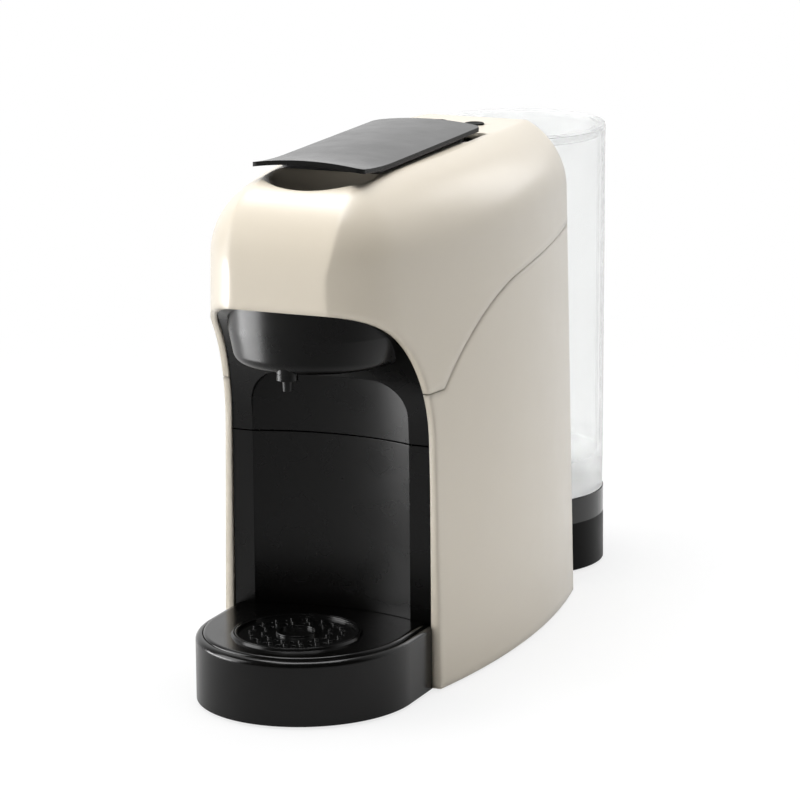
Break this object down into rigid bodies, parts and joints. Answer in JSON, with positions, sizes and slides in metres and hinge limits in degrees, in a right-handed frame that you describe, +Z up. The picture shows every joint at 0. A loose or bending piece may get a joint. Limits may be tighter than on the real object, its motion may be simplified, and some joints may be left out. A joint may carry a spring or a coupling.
{
  "type": "pod coffee machine",
  "caption": "Slim pod coffee machine with a lever lid over the capsule slot, an arched cup bay, a slide-out drip drawer and a round lift-off water tank behind.",
  "frame": {"origin": "bottom centre of the whole machine's box, on the surface it stands on", "axes": "+Z up, the cup side and drip tray towards -Y, the water tank towards +Y, +X to the right seen from the cup side"},
  "size_m": [0.1292, 0.3754, 0.2589],
  "materials": {
    "ivory_shell": "satin gloss moulded plastic",
    "black_satin": "satin moulded plastic",
    "black_matte": "matt moulded plastic",
    "black_gloss": "polished plastic",
    "lid_grey": "satin plastic",
    "clear_plastic": "clear polished plastic",
    "tube_clear": "milky silicone",
    "rubber": "moulded rubber",
    "steel": "plain steel",
    "pump_metal": "painted steel can",
    "cast_aluminium": "as cast",
    "circuit_board": "solder mask"
  },
  "bodies": {
    "body": {"upper_cover": "ivory_shell", "left_side_panel": "ivory_shell", "right_side_panel": "ivory_shell", "rear_panel": "black_satin", "front_frame": "black_satin", "spout": "black_satin", "coffee_channel": "black_satin", "base_plate": "black_matte", "feet": "rubber", "base_screws": "steel", "tank_base": "black_satin", "cord_gland": "rubber", "tank_ring": "black_gloss", "water_spigot": "black_matte", "spigot_seal": "rubber", "hinge_pin": "steel", "capsule_chute": "black_matte", "brew_frame": "black_matte", "chassis": "black_matte", "button_board": "circuit_board", "pump": "pump_metal", "pump_cradle": "rubber", "heater": "cast_aluminium", "control_board": "circuit_board", "suction_tube": "tube_clear", "pressure_tube": "tube_clear"},
    "lid": {"lid": "lid_grey", "lid_frame": "black_matte"},
    "links": {"link_bars": "steel"},
    "carriage": {"brew_carriage": "black_matte"},
    "left_button": {"button_left": "black_gloss"},
    "right_button": {"button_right": "black_gloss"},
    "drawer": {"drip_tray": "black_satin", "tray_cover": "black_satin", "capsule_bin": "black_satin"},
    "grid": {"drip_grid": "black_gloss"},
    "tank": {"tank": "clear_plastic", "tank_valve": "rubber"},
    "tank_lid": {"tank_lid": "clear_plastic"}
  },
  "joints": [
    {"name": "lid_hinge", "type": "hinge", "parent": "body", "child": "lid", "pos_m": [0, 0.0145, 0.2465], "axis": [-1, 0, 0], "range_deg": [0, 80]},
    {"name": "link_pivot", "type": "hinge", "parent": "lid", "child": "links", "pos_m": [0, 0.02478, 0.23424], "axis": [-1, 0, 0], "range_deg": [-80, 0]},
    {"name": "carriage_slide", "type": "slide", "parent": "body", "child": "carriage", "axis": [0, -1, 0], "range_m": [0, 0.0206]},
    {"name": "left_button_press", "type": "slide", "parent": "body", "child": "left_button", "axis": [0, 0, -1], "range_m": [0, 0.0015], "stiffness_N_per_m": 400},
    {"name": "right_button_press", "type": "slide", "parent": "body", "child": "right_button", "axis": [0, 0, -1], "range_m": [0, 0.0015], "stiffness_N_per_m": 400},
    {"name": "drawer_slide", "type": "slide", "parent": "body", "child": "drawer", "axis": [0, -1, 0], "range_m": [0, 0.13]},
    {"name": "grid_lift", "type": "slide", "parent": "drawer", "child": "grid", "axis": [0, 0, 1], "range_m": [0, 0.03]},
    {"name": "tank_lift", "type": "slide", "parent": "body", "child": "tank", "axis": [0, 0, 1], "range_m": [0, 0.06]},
    {"name": "tank_lid_lift", "type": "slide", "parent": "tank", "child": "tank_lid", "axis": [0, 0, 1], "range_m": [0, 0.03]}
  ],
  "couplings": [
    {"joint": "link_pivot", "follows": "lid_hinge", "ratio": -1},
    {"joint": "carriage_slide", "follows": "lid_hinge", "m_per_rad": 0.01473}
  ]
}
